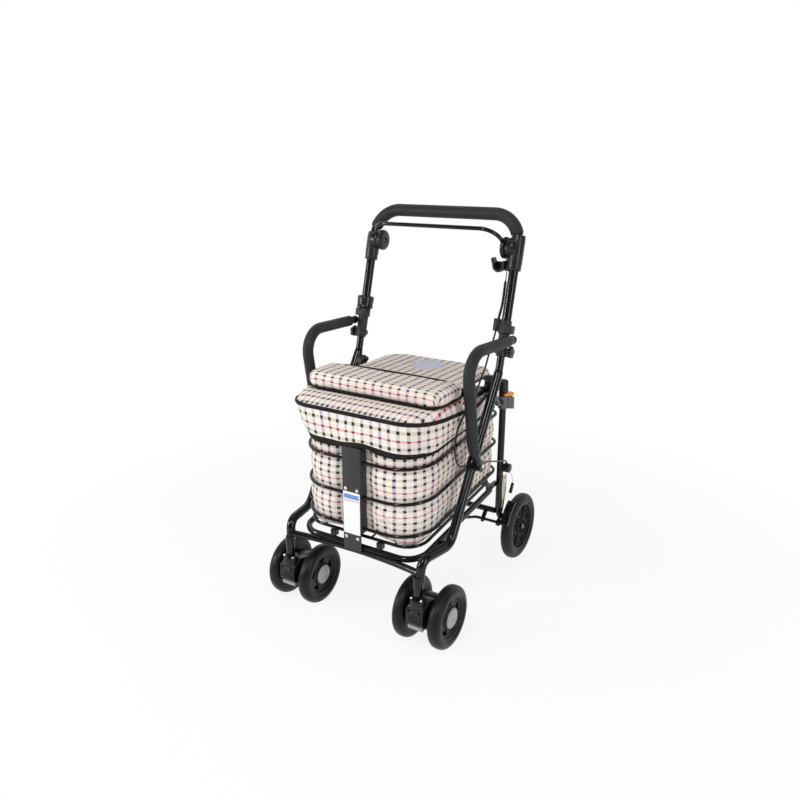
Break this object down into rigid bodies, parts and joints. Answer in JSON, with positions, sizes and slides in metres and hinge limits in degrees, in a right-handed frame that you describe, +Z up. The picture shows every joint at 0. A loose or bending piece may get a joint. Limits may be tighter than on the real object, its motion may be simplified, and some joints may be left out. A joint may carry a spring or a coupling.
{
  "type": "shopping rollator",
  "caption": "Rolling walker with a checked shopping bag in a wire basket, a padded seat lid, height-adjusting handle with squeeze brake, braked rear wheels and swivel castors.",
  "frame": {"origin": "On the floor, under the middle of the object's box", "axes": "+Z up; the rollator travels towards -Y and its user stands on the +Y side; +X is the side of the brake cable and the bag hook"},
  "size_m": [0.4942, 0.6511, 0.9624],
  "materials": {
    "black_paint": "gloss black powder coat on steel tube",
    "black_plastic": "black moulded plastic",
    "grey_plastic": "dark grey moulded plastic",
    "hub_plastic": "dark grey moulded wheel plastic",
    "dark_foam": "charcoal closed-cell foam",
    "tyre_rubber": "smooth black tyre rubber",
    "grey_rubber": "dark grey tyre rubber",
    "check_cloth": "checked polyester cloth with black bindings",
    "white_panel": "white panel, left plain",
    "orange_plastic": "orange moulded plastic",
    "yellow_zinc": "yellow zinc plate on steel",
    "seat_board": "black board"
  },
  "bodies": {
    "frame": {"side_frame_left": "black_paint", "side_frame_right": "black_paint", "front_cross_tube": "black_paint", "front_plate": "black_paint", "label_panel": "white_panel", "base_ring": "black_paint", "basket_ring_lower": "black_paint", "basket_ring_middle": "black_paint", "basket_ring_upper": "black_paint", "basket_floor": "black_paint", "basket_rear_strap": "black_paint", "rear_leg_left": "black_paint", "rear_leg_right": "black_paint", "rear_cross_tube": "black_paint", "leg_cap_left": "black_plastic", "leg_cap_right": "black_plastic", "seat_frame": "black_paint", "seat_bracket_left": "black_plastic", "seat_bracket_right": "black_plastic", "seat_board": "seat_board", "seat_cushion": "check_cloth", "bag_body": "check_cloth", "arm_left": "black_paint", "arm_right": "black_paint", "arm_grip_left": "dark_foam", "arm_grip_right": "dark_foam", "sleeve_left": "grey_plastic", "sleeve_right": "grey_plastic", "lock_ring": "black_plastic", "cable_clip": "black_plastic", "cable_block": "black_plastic", "stick_catch": "grey_plastic", "brake_cable": "black_plastic"},
    "handle": {"handle_tube": "black_paint", "handle_grip": "dark_foam", "brake_housing_left": "black_plastic", "brake_housing_right": "black_plastic"},
    "squeeze_bar": {"brake_bar": "black_paint"},
    "lid": {"lid_board": "seat_board", "lid_cushion": "check_cloth"},
    "knob_left": {"height_knob_left": "black_plastic"},
    "knob_right": {"height_knob_right": "black_plastic"},
    "brake_shaft": {"brake_yoke": "yellow_zinc"},
    "latch": {"latch_lever": "orange_plastic"},
    "castor_left": {"castor_fork_left": "black_plastic"},
    "castor_right": {"castor_fork_right": "black_plastic"},
    "pedal_left": {"castor_pedal_left": "grey_plastic"},
    "pedal_right": {"castor_pedal_right": "grey_plastic"},
    "castor_wheel_outer_left": {"castor_hub_outer_left": "hub_plastic", "castor_tyre_outer_left": "tyre_rubber"},
    "castor_wheel_inner_left": {"castor_hub_inner_left": "hub_plastic", "castor_tyre_inner_left": "tyre_rubber"},
    "castor_wheel_outer_right": {"castor_hub_outer_right": "hub_plastic", "castor_tyre_outer_right": "tyre_rubber"},
    "castor_wheel_inner_right": {"castor_hub_inner_right": "hub_plastic", "castor_tyre_inner_right": "tyre_rubber"},
    "rear_wheel_left": {"rear_hub_left": "hub_plastic", "rear_tyre_left": "grey_rubber"},
    "rear_wheel_right": {"rear_hub_right": "hub_plastic", "rear_tyre_right": "grey_rubber"}
  },
  "joints": [
    {"name": "handle_height", "type": "slide", "parent": "frame", "child": "handle", "axis": [0, 0.2569, 0.9664], "range_m": [-0.035, 0], "deforming": ["brake_cable"]},
    {"name": "brake_squeeze", "type": "hinge", "parent": "handle", "child": "squeeze_bar", "pos_m": [0, 0.10815, 0.871], "axis": [-1, 0, 0], "range_deg": [0, 20], "stiffness_Nm_per_rad": 4},
    {"name": "brake_shaft_turn", "type": "hinge", "parent": "frame", "child": "brake_shaft", "pos_m": [0, 0.138, 0.135], "axis": [-1, 0, 0], "range_deg": [0, 3]},
    {"name": "lid_hinge", "type": "hinge", "parent": "frame", "child": "lid", "pos_m": [0, -0.1095, 0.57134], "axis": [1, 0, 0], "range_deg": [0, 90]},
    {"name": "knob_turn_left", "type": "hinge", "parent": "frame", "child": "knob_left", "pos_m": [-0.205, 0.04516, 0.634], "axis": [1, 0, 0], "range_deg": [0, 180]},
    {"name": "knob_turn_right", "type": "hinge", "parent": "frame", "child": "knob_right", "pos_m": [0.205, 0.04516, 0.634], "axis": [1, 0, 0], "range_deg": [0, 180]},
    {"name": "latch_turn", "type": "hinge", "parent": "frame", "child": "latch", "pos_m": [0.16, 0.1623, 0.4856], "axis": [0, 0, 1], "range_deg": [0, 35]},
    {"name": "castor_swivel_left", "type": "hinge", "parent": "frame", "child": "castor_left", "pos_m": [-0.184, -0.3025, 0.15], "axis": [0, 0, 1], "continuous": true},
    {"name": "castor_swivel_right", "type": "hinge", "parent": "frame", "child": "castor_right", "pos_m": [0.184, -0.3025, 0.15], "axis": [0, 0, 1], "continuous": true},
    {"name": "pedal_press_left", "type": "hinge", "parent": "castor_left", "child": "pedal_left", "pos_m": [-0.184, -0.3145, 0.115], "axis": [1, 0, 0], "range_deg": [0, 15]},
    {"name": "pedal_press_right", "type": "hinge", "parent": "castor_right", "child": "pedal_right", "pos_m": [0.184, -0.3145, 0.115], "axis": [1, 0, 0], "range_deg": [0, 15]},
    {"name": "castor_spin_outer_left", "type": "hinge", "parent": "castor_left", "child": "castor_wheel_outer_left", "pos_m": [-0.2306, -0.2488, 0.075], "axis": [1, 0, 0], "continuous": true},
    {"name": "castor_spin_inner_left", "type": "hinge", "parent": "castor_left", "child": "castor_wheel_inner_left", "pos_m": [-0.1374, -0.2488, 0.075], "axis": [1, 0, 0], "continuous": true},
    {"name": "castor_spin_outer_right", "type": "hinge", "parent": "castor_right", "child": "castor_wheel_outer_right", "pos_m": [0.2306, -0.2488, 0.075], "axis": [1, 0, 0], "continuous": true},
    {"name": "castor_spin_inner_right", "type": "hinge", "parent": "castor_right", "child": "castor_wheel_inner_right", "pos_m": [0.1374, -0.2488, 0.075], "axis": [1, 0, 0], "continuous": true},
    {"name": "rear_spin_left", "type": "hinge", "parent": "frame", "child": "rear_wheel_left", "pos_m": [-0.189, 0.232, 0.092], "axis": [1, 0, 0], "continuous": true},
    {"name": "rear_spin_right", "type": "hinge", "parent": "frame", "child": "rear_wheel_right", "pos_m": [0.189, 0.232, 0.092], "axis": [1, 0, 0], "continuous": true}
  ],
  "couplings": [
    {"joint": "brake_shaft_turn", "follows": "brake_squeeze", "ratio": 0.15}
  ]
}
